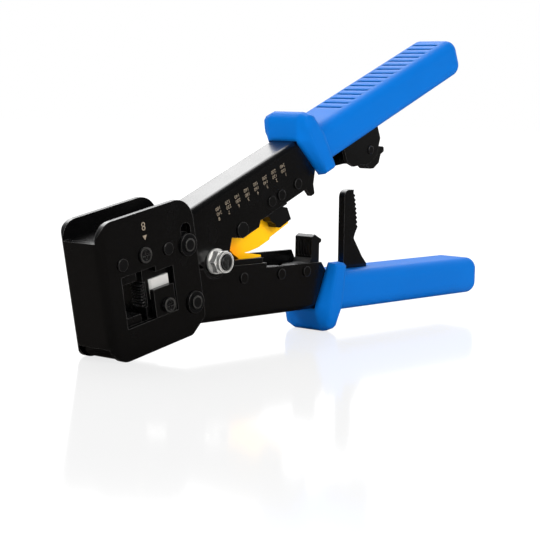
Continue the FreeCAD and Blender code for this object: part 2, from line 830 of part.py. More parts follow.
def knee_parts():
    spot = ("0", "0")
    washer_out = "arm_width / 2 + running + knee_washer_sheet"
    ring = ("knee_washer", "bolt_half + running")
    sides = both_sides("arm_width / 2 + running", washer_out)
    rings("knee_washers", "lower", [spot + ring + side for side in sides])
    near = "%s + running" % washer_out
    steps = [
        ("bolt_head", "-(%s) - bolt_head_height" % near, "-(%s)" % near),
        ("bolt_half", "-(%s)" % near, "%s + nut_height + bolt_proud" % near),
    ]
    bolt = new_body("knee_bolt")
    for radius, low, high in steps:
        add_disc(bolt, *spot, radius, low, high)
    socket = []
    for number in range(6):
        turn = number * pi / 3
        along = "bolt_socket * %.7f" % (cos(turn) / cos(pi / 6))
        out = "bolt_socket * %.7f" % (sin(turn) / cos(pi / 6))
        socket.append((along, out))
    end = "-(%s) - bolt_head_height" % near
    cut_plate(bolt, "XZ_Plane", socket, end, "%s + bolt_socket_depth" % end)
    node(bolt, "knee_bolt", "lower")
    nut = new_body("knee_nut")
    corner = "nut_flat / 0.8660254"
    hexagon = [
        ("%s * %.7f" % (corner, cos(k * pi / 3)), "%s * %.7f" % (corner, sin(k * pi / 3))) for k in range(6)
    ]
    add_plate(nut, "XZ_Plane", hexagon, near, "%s + nut_hex" % near)
    add_disc(nut, *spot, "nut_collar", "%s + nut_hex - running" % near, "%s + nut_height" % near)
    cut_hole(nut, *spot, "bolt_half + running", "0", "head_width * 2")
    node(nut, "knee_nut", "lower")
    inside = "%s - 2 * running" % CHEEK_INSIDE
    rings("knee_roller", "lower", [spot + ("roller_half", "bolt_half + running", "-(%s)" % inside, inside)])


# The two arm channels share their section; each has its own side outline.


def arm_section(name):
    section = new_body(name)
    front = "-pin_out - arm_lobe"
    outer = [
        ("-(%s)" % ARM_FACE, "-arm_lobe * 2"),
        (ARM_FACE, "-arm_lobe * 2"),
        (ARM_FACE, "arm_out", "arm_bend"),
        ("-(%s)" % ARM_FACE, "arm_out", "arm_bend"),
    ]
    add_plate(section, "YZ_Plane", outer, front, "arm_end")
    inner = [
        ("-(%s)" % ARM_INSIDE, "-arm_lobe * 2"),
        (ARM_INSIDE, "-arm_lobe * 2"),
        (ARM_INSIDE, "arm_out - arm_sheet", "arm_bend - arm_sheet"),
        ("-(%s)" % ARM_INSIDE, "arm_out - arm_sheet", "arm_bend - arm_sheet"),
    ]
    cut_plate(section, "YZ_Plane", inner, front, "arm_end")
    return section


def arm_holes(side, rivets):
    reach = ("-arm_width", "arm_width")
    cut_hole(side, "pin_along", "pin_out", "pin_half + running", *reach)
    for along, out in rivets:
        cut_hole(side, along, out, "arm_rivet_half + running", *reach)
    return reach


ARM_TAIL = [
    ("pin_along - arm_lobe + 0.5", "pin_out - 5.2", "heel_round"),
    ("pin_along - arm_lobe + 0.1", "pin_out + 1.5", "heel_round"),
    ("pin_along - 2.4", "arm_out"),
    ("arm_end", "arm_out"),
    ("arm_end", "arm_in_grip"),
    ("grip_start + 7.6", "arm_in_grip"),
]
UPPER_RIVETS = [
    ("strip_start + strip_rivet_front", "arm_rivet_out"),
    ("strip_end - strip_rivet_rear", "arm_rivet_out"),
    ("stop_start + stop_rivet_front", "arm_rivet_out"),
]
LOWER_RIVETS = [
    ("cheek_end - cheek_rivet_back", "arm_rivet_out"),
    ("anvil_start + anvil_rivet_front", "arm_rivet_out"),
    ("cutter_foot + cutter_rivet_front", "arm_rivet_out"),
]
RACK_RIVETS = [
    ("rack_front + rack_rivet_in", "rack_foot_out + rack_rivet_rise"),
    ("rack_foot - rack_rivet_in", "rack_foot_out + rack_rivet_rise"),
]


def upper_channel():
    side = new_body("upper_side")
    hook = "stop_end - 2"
    edge = [
        ("grip_start + 5.4", "8"),
        ("grip_start + 2.4", "upper_edge_back"),
        ("%s + 2.6" % hook, "-0.6", "0.8"),
        (hook, "-0.6", "0.8"),
        ("%s - 1.6" % hook, "upper_edge_back", "0.8"),
        ("cheek_end", "upper_edge_back"),
        ("cheek_end - 1.6", "upper_edge"),
        ("cheek_end - notch_back", "upper_edge"),
        ("cheek_end - notch_front", "upper_edge + notch_depth"),
        ("8.6", "0.3"),
        ("0", "-arm_lobe + 1.2"),
        ("-arm_lobe + 0.2", "0"),
        ("-9.2", "4.6", "heel_round"),
    ]
    add_plate(side, "XZ_Plane", ARM_TAIL + edge, "-arm_width", "arm_width")
    add_disc(side, "0", "0", "arm_lobe", "-arm_width", "arm_width")
    reach = arm_holes(side, UPPER_RIVETS)
    cut_hole(side, "0", "0", "bolt_half + running", *reach)
    cut_hole(side, "guard_pin_along", "guard_pin_out", "guard_pin_half + running", *reach)
    bracket_hole(side, reach)
    channel = combine("Common", "upper_channel", arm_section("upper_section"), side)
    node(channel, "upper_channel", "upper")


def bracket_hole(side, reach):
    for along in ("bracket_start + bracket_rivet_in", "bracket_end - bracket_rivet_in"):
        cut_hole(side, along, "arm_in_grip + bracket_rivet_rise", "arm_rivet_half + running", *reach)


def lower_channel():
    side = new_body("lower_side")
    edge = [
        ("grip_start + 2.4", "near_edge"),
        ("stop_end", "near_edge"),
        ("stop_end - 2.4", "0"),
        ("cheek_end + 2", "0"),
        ("cheek_end + 0.5", "low_edge"),
        ("-11", "low_edge"),
    ]
    add_plate(side, "XZ_Plane", ARM_TAIL + edge, "-arm_width", "arm_width")
    reach = arm_holes(side, LOWER_RIVETS)
    cut_hole(side, "0", "0", "arm_lobe + lobe_gap", *reach)
    near = box_corners("cheek_end + 0.5", "-arm_lobe", "stop_end", "near_edge")
    cut_plate(side, "XZ_Plane", near, "0", "arm_width")
    for spot in RACK_RIVETS:
        cut_hole(side, *spot, "arm_rivet_half + running", *reach)
    channel = combine("Common", "lower_channel", arm_section("lower_section"), side)
    node(channel, "lower_channel", "lower")


def cheek_plates():
    outline = [
        ("pin_along - 4.6", "pin_out - 3"),
        ("-5.4", "-2.4"),
        ("0", "-arm_lobe + 1"),
        ("5.4", "-2.4"),
        ("9", "cheek_edge"),
        ("cheek_end", "cheek_edge"),
        ("cheek_end", "arm_rivet_out + 5", "heel_round"),
        ("0", "pin_out + 4.8"),
        ("pin_along + 1", "pin_out + 4.8"),
        ("pin_along - 4", "pin_out + 2.5"),
    ]
    for name, (low, high) in zip(("far_cheek", "near_cheek"), both_sides(CHEEK_INSIDE, CHEEK_FACE)):
        cheek = new_body(name)
        add_plate(cheek, "XZ_Plane", outline, low, high)
        add_disc(cheek, "0", "0", "arm_lobe", low, high)
        add_disc(cheek, "pin_along", "pin_out", "arm_lobe - 0.8", low, high)
        cut_hole(cheek, "0", "0", "bolt_half + running", low, high)
        cut_hole(cheek, "pin_along", "pin_out", "pin_half + running", low, high)
        cut_hole(cheek, *LOWER_RIVETS[0], "arm_rivet_half + running", low, high)
        node(cheek, name, "lower")


def arm_rivets(name, frame, spots):
    """Short rivets through one wall each: (spot, side), side 1 for +Y and -1 for -Y."""
    inner = "arm_width / 2 - arm_rivet_depth"
    outer = "arm_width / 2 + running"
    pieces = []
    for spot, side in spots:
        shank, head = both_sides(inner, outer), both_sides(outer, "%s + arm_rivet_proud" % outer)
        pick = 1 if side > 0 else 0
        steps = [("arm_rivet_half",) + shank[pick], ("arm_rivet_head",) + head[pick]]
        pieces.append(spot + (steps,))
    rods(name, frame, pieces)


# The stripping station: a block with its blade in the upper arm, an anvil in the lower.


def strip_parts():
    block = new_body("strip_block")
    inside = "%s - running" % ARM_INSIDE
    base = box_corners("strip_start - 1", "guard_near + 0.6", "strip_end", "strip_base")
    add_plate(block, "XZ_Plane", base, "-(%s)" % inside, inside)
    jaw = [
        ("strip_start", "guard_near + 1"),
        ("strip_start + 0.2", "-strip_reach * 0.1"),
        ("strip_start + 2.2", "-strip_reach * 0.48"),
        ("strip_start + 2.4", "-strip_reach * 0.82"),
        ("strip_start + 4.2", "-strip_reach"),
        ("strip_end", "-strip_reach + 0.3"),
        ("strip_end - 0.4", "0.4"),
        ("strip_end - 3.3", "guard_near + 1"),
    ]
    add_plate(block, "XZ_Plane", jaw, "-(%s)" % inside, "-strip_inner")
    slit = "strip_start + strip_slit"
    top = "-strip_reach + strip_slit_depth"
    groove = box_corners(slit, "-strip_reach - 1", slit + " + blade_sheet", top)
    cut_plate(block, "XZ_Plane", groove, "-(%s) + running * 10" % inside, "0")
    for spot in UPPER_RIVETS[:2]:
        cut_hole(block, *spot, "arm_rivet_half + running", "-arm_width", "arm_width")
    node(block, "strip_block", "upper")
    blade = new_body("strip_blade")
    far = slit + " + blade_sheet - running"
    edge = box_corners(slit + " + running", "-strip_reach - blade_proud", far, top + " - running")
    add_plate(blade, "XZ_Plane", edge, "-(%s) + running * 11" % inside, "-strip_inner - running")
    node(blade, "strip_blade", "upper")
    anvil = new_body("strip_anvil")
    outline = box_corners("anvil_start", "anvil_face", "anvil_end", "strip_base", "window_step / 4")
    add_plate(anvil, "XZ_Plane", outline, "strip_inner + 0.2", inside)
    groove = box_corners("anvil_start + 6", "anvil_face - 1", "anvil_start + 10", "anvil_face + 2.2")
    cut_plate(anvil, "XZ_Plane", groove, "0", "arm_width")
    cut_hole(anvil, *LOWER_RIVETS[1], "arm_rivet_half + running", "0", "arm_width")
    node(anvil, "strip_anvil", "lower")


def cutter_parts():
    block = new_body("cutter_block")
    outline = [
        ("cutter_start", "-cutter_rise + 0.6", "0.5"),
        ("cutter_start + 1.8", "-cutter_rise - 0.3"),
        ("cutter_end - 0.6", "-cutter_rise + 0.8", "0.5"),
        ("cutter_end + cutter_lug", "-cutter_rise + 1.6", "0.5"),
        ("cutter_end + cutter_lug", "-cutter_rise + 2.8", "0.5"),
        ("cutter_end", "-cutter_rise + 3.2"),
        ("cutter_end", "arm_in_grip - 3.2"),
        ("cutter_end", "strip_base + 1"),
        ("cutter_foot", "strip_base + 1"),
        ("cutter_foot", "near_edge + 0.6", "0.8"),
        ("cutter_start - 1.6", "near_edge + 0.6", "1"),
        ("cutter_start", "near_edge - 1.6"),
    ]
    add_plate(block, "XZ_Plane", outline, "-cutter_half", "cutter_half")
    for number in range(SIZES["cutter_ribs"]):
        across = "-cutter_half + cutter_half * 2 * %d / cutter_ribs" % number
        low = "%s + cutter_half / cutter_ribs / 2" % across
        high = "%s + cutter_half / cutter_ribs * 1.5" % across
        top = "-cutter_rise + rib_under_top"
        foot = "near_edge - rib_over_edge"
        rib = box_corners("cutter_start - 1", top, "cutter_start + cutter_rib", foot)
        cut_plate(block, "XZ_Plane", rib, low, high)
    slit = "cutter_start + cutter_slit"
    bottom = "-cutter_rise + cutter_slot"
    slot = box_corners(slit, "-cutter_rise - 1", slit + " + blade_sheet", bottom)
    cut_plate(block, "XZ_Plane", slot, "-cutter_half + cutter_wall", "cutter_half - cutter_wall")
    cut_hole(block, *LOWER_RIVETS[2], "arm_rivet_half + running", "-arm_width", "arm_width")
    node(block, "cutter_block", "lower")
    blade = new_body("cutter_blade")
    far = slit + " + blade_sheet - running"
    edge = box_corners(slit + " + running", "-cutter_rise - blade_proud", far, bottom + " - running")
    inside = "cutter_half - cutter_wall - running"
    add_plate(blade, "XZ_Plane", edge, "-(%s)" % inside, inside)
    node(blade, "cutter_blade", "lower")
    stop = new_body("cutter_anvil")
    inside = "%s - running" % ARM_INSIDE
    outline = box_corners("stop_start", "stop_face", "stop_end", "strip_base", "window_step / 4")
    add_plate(stop, "XZ_Plane", outline, "-(%s)" % inside, inside)
    cut_hole(stop, *UPPER_RIVETS[2], "arm_rivet_half + running", "-arm_width", "arm_width")
    node(stop, "cutter_anvil", "upper")


# The yellow guard swings on its own pin below the upper arm.


def blade_guard():
    guard = new_body("blade_guard")
    outline = [
        ("guard_pin_along - 3.4", "-3.4"),
        ("guard_pin_along - 2.9", "guard_pin_out"),
        ("guard_pin_along + 2.9", "guard_pin_out"),
        ("guard_pin_along + 4.5", "guard_near - 0.2"),
        ("strip_end", "guard_near - 0.2"),
        ("guard_tip - 2", "-guard_depth + 4.6", "0.6"),
        ("guard_tip", "-guard_depth + 1.2", "0.6"),
        ("guard_pin_along + 18.8", "-guard_depth + 0.7"),
        ("guard_pin_along + 18.2", "-guard_depth"),
        ("guard_pin_along + 11.4", "-guard_depth"),
        ("guard_pin_along + 6", "-guard_depth + 0.9"),
        ("guard_pin_along + 3.4", "-guard_depth + 1.7"),
        ("guard_pin_along + 1.2", "-guard_depth + 1.2"),
    ]
    add_plate(guard, "XZ_Plane", outline, "-guard_near", "guard_far")
    leg = [
        ("guard_pin_along - 3.2", "-4"),
        ("guard_pin_along + 3.4", "-guard_depth + 1.7"),
        ("guard_pin_along + guard_leg * 0.8", "-guard_depth - 3.2"),
        ("guard_pin_along + guard_leg * 0.8", "-guard_depth - 4"),
        ("guard_pin_along + 0.4", "-guard_depth"),
    ]
    add_plate(guard, "XZ_Plane", leg, "-guard_near", "guard_near")
    add_disc(guard, "guard_pin_along", "guard_pin_out", "guard_ear", "-guard_near", "guard_far")
    reach = ("-arm_width", "arm_width")
    cut_hole(guard, "guard_pin_along", "guard_pin_out", "guard_pin_half + running", *reach)
    hollow = [
        ("guard_pin_along + 6", "-1.4"),
        ("strip_end - 2.4", "-1.4"),
        ("strip_end - 2.4", "-guard_depth + 2.4"),
        ("guard_pin_along + 6", "-guard_depth + 2.4"),
    ]
    cut_plate(guard, "XZ_Plane", hollow, "guard_near - 0.6", "arm_width")
    node(guard, "blade_guard", "upper")
    outer = "arm_width / 2 + running"
    steps = [
        ("guard_pin_head", "-(%s) - arm_rivet_proud" % outer, "-(%s)" % outer),
        ("guard_pin_half", "-(%s)" % outer, outer),
        ("guard_pin_head", outer, "%s + arm_rivet_proud" % outer),
    ]
    rods("guard_pin", "upper", [("guard_pin_along", "guard_pin_out", steps)])


# The ratchet: a toothed rack on the lower handle and a sprung pawl on the upper one.


def ratchet_rack():
    rack = new_body("ratchet_rack")
    top = degrees(asin(SIZES["teeth_rise"] / rack_radius))
    low = degrees(asin(SIZES["teeth_fall"] / rack_radius))
    count = SIZES["rack_teeth"]
    teeth = []
    for number in range(count):
        for share, name in ((0.0, "rack_radius - tooth_depth"), (0.62, "rack_radius")):
            angle = radians(top + (low - top) * (number + share) / count)
            teeth.append(("(%s) * %.7f" % (name, cos(angle)), "-(%s) * %.7f" % (name, sin(angle))))
    outline = [
        ("rack_front + 0.4", "rack_foot_out"),
        ("rack_foot", "rack_foot_out"),
        ("rack_foot", "grip_in - 1.2"),
        ("rack_foot - 3", "4.4"),
        ("rack_radius + 0.5", "1"),
        ("rack_radius - 2.8", "-3.4", "1"),
        ("rack_radius - 2", "-5.4"),
    ]
    outline += teeth[::-1]
    outline += [
        ("rack_radius - 3.4", "-rack_rise"),
        ("rack_front", "-rack_rise", "rack_round"),
    ]
    add_plate(rack, "XZ_Plane", outline, "-rack_half", "rack_half")
    foot = box_corners("rack_front", "rack_foot_out - 1", "rack_foot", "arm_out - arm_bend")
    add_plate(rack, "XZ_Plane", foot, "-rack_foot_half", "rack_foot_half")
    for spot in RACK_RIVETS:
        cut_hole(rack, *spot, "arm_rivet_half + running", "-arm_width", "arm_width")
    node(rack, "ratchet_rack", "lower")
    flush = [("arm_rivet_half", "-(%s)" % ARM_FACE, ARM_FACE)]
    rods("rack_rivets", "lower", [spot + (flush,) for spot in RACK_RIVETS])


def ratchet_bracket():
    bracket = new_body("ratchet_bracket")
    outline = [
        ("bracket_start", "arm_in_grip + bracket_over"),
        ("bracket_start", "1.6"),
        ("bracket_start + 3.3", "-1.6"),
        ("bracket_start + 8.4", "-3"),
        ("bracket_start + 12", "-4.6", "1"),
        ("pawl_pin_along + 3", "-3.4", "1"),
        ("bracket_end", "2.4"),
        ("bracket_end", "arm_in_grip + bracket_over"),
    ]
    inside = "bracket_inside"
    add_plate(bracket, "XZ_Plane", outline, "-(%s)" % CHEEK_FACE, CHEEK_FACE)
    opening = box_corners("bracket_start - 1", "-arm_lobe * 2", "bracket_web", "arm_out")
    cut_plate(bracket, "XZ_Plane", opening, "-(%s)" % inside, inside)
    floor = "arm_in_grip + bracket_floor"
    opening = box_corners("bracket_web - 1", "-arm_lobe * 2", "bracket_end + 1", floor)
    cut_plate(bracket, "XZ_Plane", opening, "-(%s)" % inside, inside)
    reach = ("-arm_width", "arm_width")
    cut_hole(bracket, "pawl_pin_along", "pawl_pin_out", "pawl_pin_half + running", *reach)
    bracket_hole(bracket, reach)
    node(bracket, "ratchet_bracket", "upper")
    pieces = []
    for along in ("bracket_start + bracket_rivet_in", "bracket_end - bracket_rivet_in"):
        for side in both_sides(inside, ARM_FACE):
            pieces.append((along, "arm_in_grip + bracket_rivet_rise", [("arm_rivet_half",) + side]))
    rods("bracket_rivets", "upper", pieces)
    rods("pawl_pin", "upper", [("pawl_pin_along", "pawl_pin_out", [
        ("pawl_pin_half", "-(%s) - arm_rivet_proud" % CHEEK_FACE, "%s + arm_rivet_proud" % CHEEK_FACE)])])


def ratchet_pawl():
    pawl = new_body("ratchet_pawl")
    tip = "rack_radius + pawl_tooth_gap"
    outline = [
        (tip, "0.45"),
        ("%s + 1.6" % tip, "-1.2"),
        ("pawl_pin_along - 4", "-3.4"),
        ("pawl_pin_along - 1.5", "-7.4", "1"),
        ("pawl_pin_along + 1", "-8.3", "1"),
        ("pawl_pin_along + 5", "-7.5", "1"),
        ("pawl_pin_along + 7.4", "-4.7", "0.5"),
        ("pawl_pin_along + 9.8", "-4.5", "0.8"),
        ("pawl_pin_along + 10.4", "-2.6", "0.8"),
        ("pawl_pin_along + 7.6", "-1.2"),
        ("pawl_pin_along + 5", "0.6"),
        ("pawl_pin_along + 2", "pawl_pin_out + 3"),
        ("pawl_pin_along - 2.4", "pawl_pin_out + 2.8"),
    ]
    near, far = "-pawl_near", "pawl_far"
    add_plate(pawl, "XZ_Plane", outline, near, far)
    add_disc(pawl, "pawl_pin_along", "pawl_pin_out", "pawl_hub", near, far)
    cut_hole(pawl, "pawl_pin_along", "pawl_pin_out", "pawl_pin_half + running", "-arm_width", "arm_width")
    node(pawl, "ratchet_pawl", "upper")


# Springs are wire swept along a helix, with a straight leg at each end.
WIRE_SIDES = 12
BEND_BULGE = 1.2


def coil_spring(name, frame, centre, start, turns, pitch, mean, wire, legs):
    helix = Part.makeHelix(pitch, pitch * turns, mean)
    helix.Placement = Place(Vec(centre.x, start, centre.z), Turn(Vec(1, 0, 0), -90))
    points = [helix.Edges[0].Vertexes[0].Point, helix.Edges[-1].Vertexes[-1].Point]
    first = Part.makeLine(points[0] + legs[0], points[0])
    last = Part.makeLine(points[1], points[1] + legs[1])
    tangent = helix.Edges[0].tangentAt(0)
    across = tangent.cross(Vec(0, 1, 0)).normalize() * (wire / 2)
    corners = []
    for number in range(WIRE_SIDES + 1):
        spin = Turn(tangent, number * 360 / WIRE_SIDES)
        corners.append(points[0] + spin.multVec(across))
    ring = Part.makePolygon(corners)
    solid = Part.Wire(helix.Edges).makePipeShell([ring], True, True)
    for line in (first, last):
        direction = line.Vertexes[1].Point - line.Vertexes[0].Point
        rod = Part.makeCylinder(wire / 2, direction.Length, line.Vertexes[0].Point, direction)
        solid = solid.fuse(rod)
    for point in points:
        solid = solid.fuse(Part.makeSphere(wire / 2 * BEND_BULGE, point))
    part = doc.addObject("Part::Feature", name)
    part.Shape = solid.removeSplitter()
    node(part, name, frame)


def springs():
    length = SIZES["spring_pitch"] * SIZES["spring_turns"]
    web = SIZES["arm_out"] - SIZES["arm_sheet"] - SIZES["spring_wire"] / 2 - SIZES["running"]
    coil_spring(
        "return_spring",
        "lower",
        Vec(pin_along, 0, pin_out),
        -length / 2,
        SIZES["spring_turns"],
        SIZES["spring_pitch"],
        SIZES["spring_half"],
        SIZES["spring_wire"],
        (Vec(cheek_end / 2, 0, web - pin_out), Vec(-1.9, 0, 3.4)),
    )
    wire = SIZES["pawl_spring_wire"]
    turns = SIZES["pawl_spring_turns"]
    pitch = (bracket_inside - pawl_far - 2 * wire) / turns
    coil_spring(
        "pawl_spring",
        "upper",
        Vec(pawl_pin_along, 0, SIZES["pawl_pin_out"]),
        pawl_far + wire,
        turns,
        pitch,
        SIZES["pawl_spring_half"],
        wire,
        (Vec(0, 0, SIZES["grip_in"] - 2), Vec(0, 0, SIZES["grip_in"] - 2)),
    )


# The grips are moulded over the ends of the channels, with a collar in front.

# The collar's side outline: where each corner lies from the front or the rear of the
# collar, then how far it is set back where the collar turns and where it is widest.
COLLAR_CORNERS = [
    ("flange_front + flange_lean", "low", ((0.0, 0.0), (0.2, -0.4), (0.4, -1.4))),
    ("flange_front", "arm_out", ((0.0, 0.6), (3.2, 0.8), (4.6, 1.2))),
    ("flange_front + 2.4", "foot_depth - 2.9", ((0.0, 0.0), (0.9, 1.3), (1.6, 4.6))),
    ("flange_front + 3.4", "foot_depth - 1", ((0.0, 0.0), (0.5, 1.3), (0.9, 4.6))),
    ("flange_front + 5.3", "foot_depth", ((0.0, 0.0), (0.2, 1.3), (0.3, 4.6))),
    ("flange_rear - 6", "foot_depth", ((0.0, 0.0), (0.0, 1.3), (0.0, 4.6))),
    ("flange_rear - 4.2", "foot_depth - 1", ((0.0, 0.0), (-0.1, 1.3), (-0.2, 4.6))),
    ("flange_rear - 3.2", "foot_depth - 3.3", ((0.0, 0.0), (0.0, 1.3), (0.0, 4.4))),
    ("flange_rear - 1.9", "arm_out", ((0.0, 0.6), (0.0, 0.8), (0.0, 1.2))),
    ("flange_rear", "low", ((0.0, 0.0), (0.0, -0.4), (0.0, -1.4))),
]
COLLAR_LEVELS = ("flange_core / 2", "flange_core / 2 + flange_corner * 0.7", "flange_width / 2")


def collar(body, low):
    """A core across the channel, and on each side a turned-in shoulder."""
    rounds = []
    for stage in range(3):
        outline = []
        for along, out, back in COLLAR_CORNERS:
            shift, drop = back[stage]
            out = low if out == "low" else out
            outline.append(("%s + %g" % (along, shift), "%s - (%g)" % (out, drop)))
        rounds.append(outline)
    add_plate(body, "XZ_Plane", rounds[0], "-(%s)" % COLLAR_LEVELS[0], COLLAR_LEVELS[0])
    for sign in ("", "-"):
        sketches = []
        for outline, level in zip(rounds, COLLAR_LEVELS):
            sketch = new_sketch(body, "XZ_Plane", "%s(%s)" % (sign, level))
            draw_outline(sketch, outline)
            sketches.append(sketch)
        loft = body.newObject("PartDesign::AdditiveLoft", body.Name + "_shoulder")
        loft.Profile = sketches[0]
        loft.Sections = sketches[1:]
        loft.Ruled = True
        doc.recompute()


def grip(name, frame, collar_in, openings, grooved):
    body = new_body(name)
    start = "flange_front + sleeve_in"
    outline = [
        (start, "grip_in"),
        ("grip_end", "grip_in", "grip_end_round"),
        ("grip_end", "grip_out", "grip_end_round"),
        (start, "grip_out"),
    ]
    feature = add_plate(body, "XZ_Plane", outline, "-grip_width / 2", "grip_width / 2")
    half = SIZES["grip_width"] / 2
    names = []
    for number, edge in enumerate(feature.Shape.Edges, 1):
        ends = [vertex.Point for vertex in edge.Vertexes]
        on_side = all(abs(abs(point.y) - half) < 0.01 for point in ends)
        if on_side and ends[0].y * ends[1].y > 0 and edge.CenterOfMass.x > flange_rear + 1:
            names.append("Edge%d" % number)
    round_edges(body, feature, names, "grip_side_round")
    collar(body, collar_in)
    fit = "arm_width / 2 + grip_slip"
    mouth = box_corners("flange_front - 1", "-arm_lobe", "flange_rear + 0.2", "arm_out + grip_slip")
    cut_plate(body, "XZ_Plane", mouth, "-(%s)" % fit, fit)
    inner = "arm_in_grip - grip_slip"
    sleeve = box_corners("flange_rear", inner, "arm_end + grip_slip", "arm_out + grip_slip")
    cut_plate(body, "XZ_Plane", sleeve, "-(%s)" % fit, fit)
    for left, right, wide, low in openings:
        corners = box_corners(left, low, right, "arm_in_grip")
        cut_plate(body, "XZ_Plane", corners, "-(%s)" % wide, wide)
    if grooved:
        groove = box_corners("groove_start", "grip_out - groove_depth", "groove_start + groove_width",
                             "grip_out + 1")
        feature = cut_plate(body, "XZ_Plane", groove, "-groove_length / 2", "groove_length / 2")
        row = body.newObject("PartDesign::LinearPattern", name + "_row")
        row.Originals = [feature]
        row.Direction = (origin_plane(body, "X_Axis"), [""])
        row.setExpression("Length", bound("groove_pitch * (groove_count - 1)"))
        row.setExpression("Occurrences", bound("groove_count"))
        body.Tip = row
        doc.recompute()
    node(body, name, frame)


head_frame()
die_block()
connector_nest()
block_screw()
head_fasteners()
ram_body()
crimping_comb()
trimming_blade()
blade_clamp()
clamp_screw()
pin_set("head_pin", "lower")
pin_set("slot_pin", "upper")
knee_parts()
upper_channel()
lower_channel()
cheek_plates()
arm_rivets("upper_rivets", "upper", [(spot, side) for spot in UPPER_RIVETS for side in (-1, 1)])
near_only = [(LOWER_RIVETS[0], 1), (LOWER_RIVETS[0], -1), (LOWER_RIVETS[1], 1),
             (LOWER_RIVETS[2], 1), (LOWER_RIVETS[2], -1)]
arm_rivets("lower_rivets", "lower", near_only)
strip_parts()
cutter_parts()
blade_guard()
ratchet_rack()
ratchet_bracket()
ratchet_pawl()
springs()
under = "grip_in - room_through"
side = "rack_half + rack_room_side"
rack_room = ("rack_front - rack_room_front", "rack_foot + rack_room_rear", side, under)
groove_room = ("rack_foot", "arm_end + 4", "rack_half - 0.5", under)
grip("lower_grip", "lower", "collar_in_low", [rack_room], False)
pawl_room = ("bracket_start - pawl_room_end", "bracket_end + pawl_room_end", ARM_INSIDE, under)
grip("upper_grip", "upper", "collar_in_up", [
    ("rack_front - rack_room_upper", "bracket_end", "rack_half + 2 * rack_room_side", under),
    pawl_room,
], True)

doc.recompute()
faults = [part.Label for part in doc.Objects if "Invalid" in part.State or "Error" in part.State]
for part in nodes:
    if part.Shape.isNull() or not part.Shape.isValid():
        faults.append(part.Label)
if faults:
    raise RuntimeError("faulty objects: %s" % ", ".join(faults))
for part in nodes:
    part.Shape.exportStep("parts/%s.step" % part.Label)

print("knee", knee_place, "pin along and out", pin_along, pin_out)
print("ram travel", ram_travel, "knee rise", knee_rise)
for part in nodes:
    print(part.Label, len(part.Shape.Solids), "solids, volume", round(part.Shape.Volume, 2))
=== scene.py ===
import math

import bmesh
import bpy
from mathutils import Matrix, Vector


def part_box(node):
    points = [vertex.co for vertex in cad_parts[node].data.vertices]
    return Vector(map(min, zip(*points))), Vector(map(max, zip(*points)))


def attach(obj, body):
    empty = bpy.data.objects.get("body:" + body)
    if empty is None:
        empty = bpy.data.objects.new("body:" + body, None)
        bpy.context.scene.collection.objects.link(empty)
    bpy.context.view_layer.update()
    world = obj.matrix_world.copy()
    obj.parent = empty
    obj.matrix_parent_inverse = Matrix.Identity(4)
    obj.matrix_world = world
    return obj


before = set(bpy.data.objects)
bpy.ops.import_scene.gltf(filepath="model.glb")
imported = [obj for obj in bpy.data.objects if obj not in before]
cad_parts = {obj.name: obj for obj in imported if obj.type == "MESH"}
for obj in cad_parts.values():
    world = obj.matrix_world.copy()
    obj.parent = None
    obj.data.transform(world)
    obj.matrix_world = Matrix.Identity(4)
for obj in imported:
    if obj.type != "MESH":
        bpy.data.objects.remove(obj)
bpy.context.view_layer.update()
MM = 0.001

# The head frame is one piece of 2 mm sheet steel, bent round a broad front web
# into two side plates, then dipped in a black coat. The coat is glossy, with a
# faint orange peel, and its cut edges carry a painted highlight in pale grey.


class Value:
    """A shader socket that Python can add, multiply and compare."""

    def __init__(self, paint, socket):
        self.paint = paint
        self.socket = socket

    def math(self, operation, other, turned=False):
        first, second = (other, self) if turned else (self, other)
        return self.paint.node("ShaderNodeMath", {"operation": operation}, [first, second])

    def __add__(self, other):
        return self.math("ADD", other)

    def __radd__(self, other):
        return self.math("ADD", other)

    def __sub__(self, other):
        return self.math("SUBTRACT", other)

    def __rsub__(self, other):
        return self.math("SUBTRACT", other, turned=True)

    def __mul__(self, other):
        return self.math("MULTIPLY", other)

    def __rmul__(self, other):
        return self.math("MULTIPLY", other)

    def ramp(self, low, high):
        """Zero below low, one above high, smooth between."""
        ends = {"Value": self, "From Min": low, "From Max": high}
        return self.paint.node("ShaderNodeMapRange", {"interpolation_type": "SMOOTHSTEP"}, ends)


class Nodes:
    """The shader nodes of a material or of the world."""

    def __init__(self, owner):
        owner.use_nodes = True
        self.tree = owner.node_tree

    def node(self, kind, settings=None, inputs=None, output=0):
        """Add a node with its settings, then its inputs by name or number."""
        made = self.tree.nodes.new(kind)
        for key, value in (settings or {}).items():
            setattr(made, key, value)
        pairs = inputs.items() if isinstance(inputs, dict) else enumerate(inputs or [])
        for key, value in pairs:
            self.put(made.inputs[key], value)
        return Value(self, made.outputs[output])

    def put(self, socket, value):
        """Set a socket to a number or colour, or link it."""
        if isinstance(value, Value):
            self.tree.links.new(value.socket, socket)
        else:
            socket.default_value = value

    def measure(self, operation, *vectors):
        """A number worked out from vectors."""
        settings = {"operation": operation}
        return self.node("ShaderNodeVectorMath", settings, vectors, output="Value")


